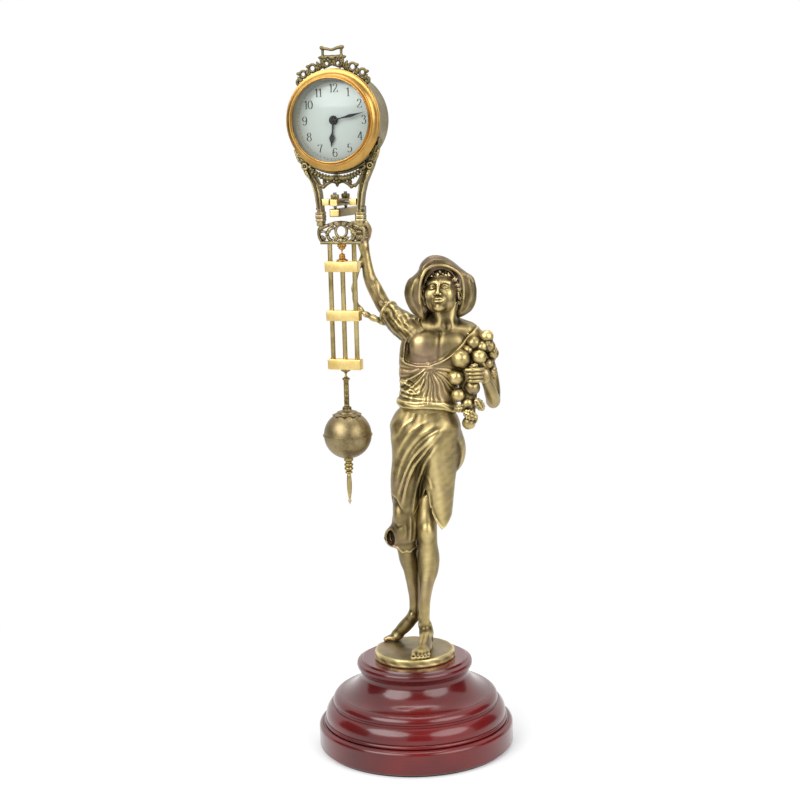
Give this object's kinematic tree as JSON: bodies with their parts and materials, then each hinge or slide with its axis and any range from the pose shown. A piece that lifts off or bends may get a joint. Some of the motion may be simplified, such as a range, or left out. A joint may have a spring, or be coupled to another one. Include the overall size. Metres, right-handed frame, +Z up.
{
  "type": "mystery clock",
  "caption": "Table clock in which a bronze figure on a turned wooden base holds up a whole clock that swings on two points as a pendulum with a ball bob.",
  "frame": {"origin": "centre of the round base at the surface the clock stands on", "axes": "+Z up, the dial faces -Y, +X to the viewer's right of the dial"},
  "size_m": [0.1469, 0.1442, 0.5108],
  "materials": {
    "lacquered_wood": "deep red gloss lacquer",
    "felt": "green felt",
    "steel": "plain turned steel",
    "antique_bronze": "antique bronze patina with gold rubbed edges",
    "dark_bronze": "dark olive bronze casting",
    "gold_brass": "satin gold brass",
    "satin_brass": "bright satin brass",
    "aged_brass": "dull olive brass",
    "movement_brass": "plain cut brass",
    "glass": "clear glass",
    "dial_enamel": "pale grey white dial",
    "blued_steel": "dark blued steel",
    "cast_filling": "rough cast weight"
  },
  "bodies": {
    "stand": {"base_disc": "lacquered_wood", "base_bell": "lacquered_wood", "felt_pad": "felt", "fixing_bolt": "steel", "fixing_washer": "steel", "fixing_nut": "steel", "figure_plinth": "antique_bronze", "front_leg": "antique_bronze", "rear_leg": "antique_bronze", "drapery": "antique_bronze", "torso": "antique_bronze", "head": "antique_bronze", "hat": "antique_bronze", "raised_arm": "antique_bronze", "raised_hand": "antique_bronze", "fruit_arm": "antique_bronze", "fruit_bunch": "antique_bronze", "bracket_post": "antique_bronze", "bracket_bar": "satin_brass"},
    "clock": {"case_drum": "dark_bronze", "back_cover": "dark_bronze", "bezel": "gold_brass", "crystal": "glass", "dial": "dial_enamel", "crest": "dark_bronze", "garland": "dark_bronze", "lyre_frame": "dark_bronze", "lower_ornament": "dark_bronze", "cross_blocks": "satin_brass", "cross_rod": "steel", "pivot_block": "satin_brass", "pivot_screws": "steel", "lock_nuts": "blued_steel", "front_plate": "movement_brass", "back_plate": "movement_brass", "upper_finial": "gold_brass", "short_posts": "aged_brass", "crossbars": "satin_brass", "pendulum_rods": "aged_brass", "rod_socket": "aged_brass", "rating_thread": "aged_brass"},
    "bob": {"bob_upper_shell": "aged_brass", "bob_lower_shell": "aged_brass", "bob_core": "cast_filling", "leaf_cap": "aged_brass", "pointer_finial": "aged_brass"},
    "centre": {"minute_hand": "blued_steel", "cannon_pinion": "movement_brass", "centre_arbor": "movement_brass", "setting_knob": "satin_brass"},
    "hour": {"hour_hand": "blued_steel", "hour_wheel": "movement_brass"},
    "motion": {"minute_wheel": "movement_brass"},
    "barrel": {"barrel": "movement_brass", "mainspring": "steel"},
    "winding": {"winding_arbor": "steel", "winding_key": "satin_brass"},
    "third": {"third_wheel": "movement_brass"},
    "escape": {"escape_wheel": "movement_brass"},
    "anchor": {"anchor": "steel"}
  },
  "joints": [
    {"name": "swing", "type": "hinge", "parent": "stand", "child": "clock", "pos_m": [-0.0395, -0.0205, 0.397], "axis": [0, 1, 0], "range_deg": [-4, 4]},
    {"name": "rating", "type": "slide", "parent": "clock", "child": "bob", "axis": [0, 0, 1], "range_m": [-0.003, 0.003]},
    {"name": "minute", "type": "hinge", "parent": "clock", "child": "centre", "pos_m": [-0.0395, -0.0205, 0.4595], "axis": [0, 1, 0], "continuous": true},
    {"name": "hour", "type": "hinge", "parent": "clock", "child": "hour", "pos_m": [-0.0395, -0.0205, 0.4595], "axis": [0, 1, 0], "continuous": true},
    {"name": "motion_wheel", "type": "hinge", "parent": "clock", "child": "motion", "pos_m": [-0.0395, -0.0205, 0.4675], "axis": [0, 1, 0], "continuous": true},
    {"name": "barrel_turn", "type": "hinge", "parent": "clock", "child": "barrel", "pos_m": [-0.0395, -0.0205, 0.4455], "axis": [0, 1, 0], "continuous": true},
    {"name": "third_turn", "type": "hinge", "parent": "clock", "child": "third", "pos_m": [-0.02917, -0.0205, 0.46834], "axis": [0, 1, 0], "continuous": true},
    {"name": "escape_turn", "type": "hinge", "parent": "clock", "child": "escape", "pos_m": [-0.0395, -0.0205, 0.4735], "axis": [0, 1, 0], "continuous": true},
    {"name": "key_turn", "type": "hinge", "parent": "clock", "child": "winding", "pos_m": [-0.0395, -0.0205, 0.4455], "axis": [0, 1, 0], "continuous": true},
    {"name": "anchor_beat", "type": "hinge", "parent": "clock", "child": "anchor", "pos_m": [-0.0395, -0.0205, 0.483], "axis": [0, 1, 0], "range_deg": [-3, 3]}
  ],
  "couplings": [
    {"joint": "hour", "follows": "minute", "ratio": 0.083333},
    {"joint": "motion_wheel", "follows": "minute", "ratio": -0.33333},
    {"joint": "barrel_turn", "follows": "minute", "ratio": -0.16667},
    {"joint": "third_turn", "follows": "minute", "ratio": -9},
    {"joint": "escape_turn", "follows": "minute", "ratio": 90}
  ]
}
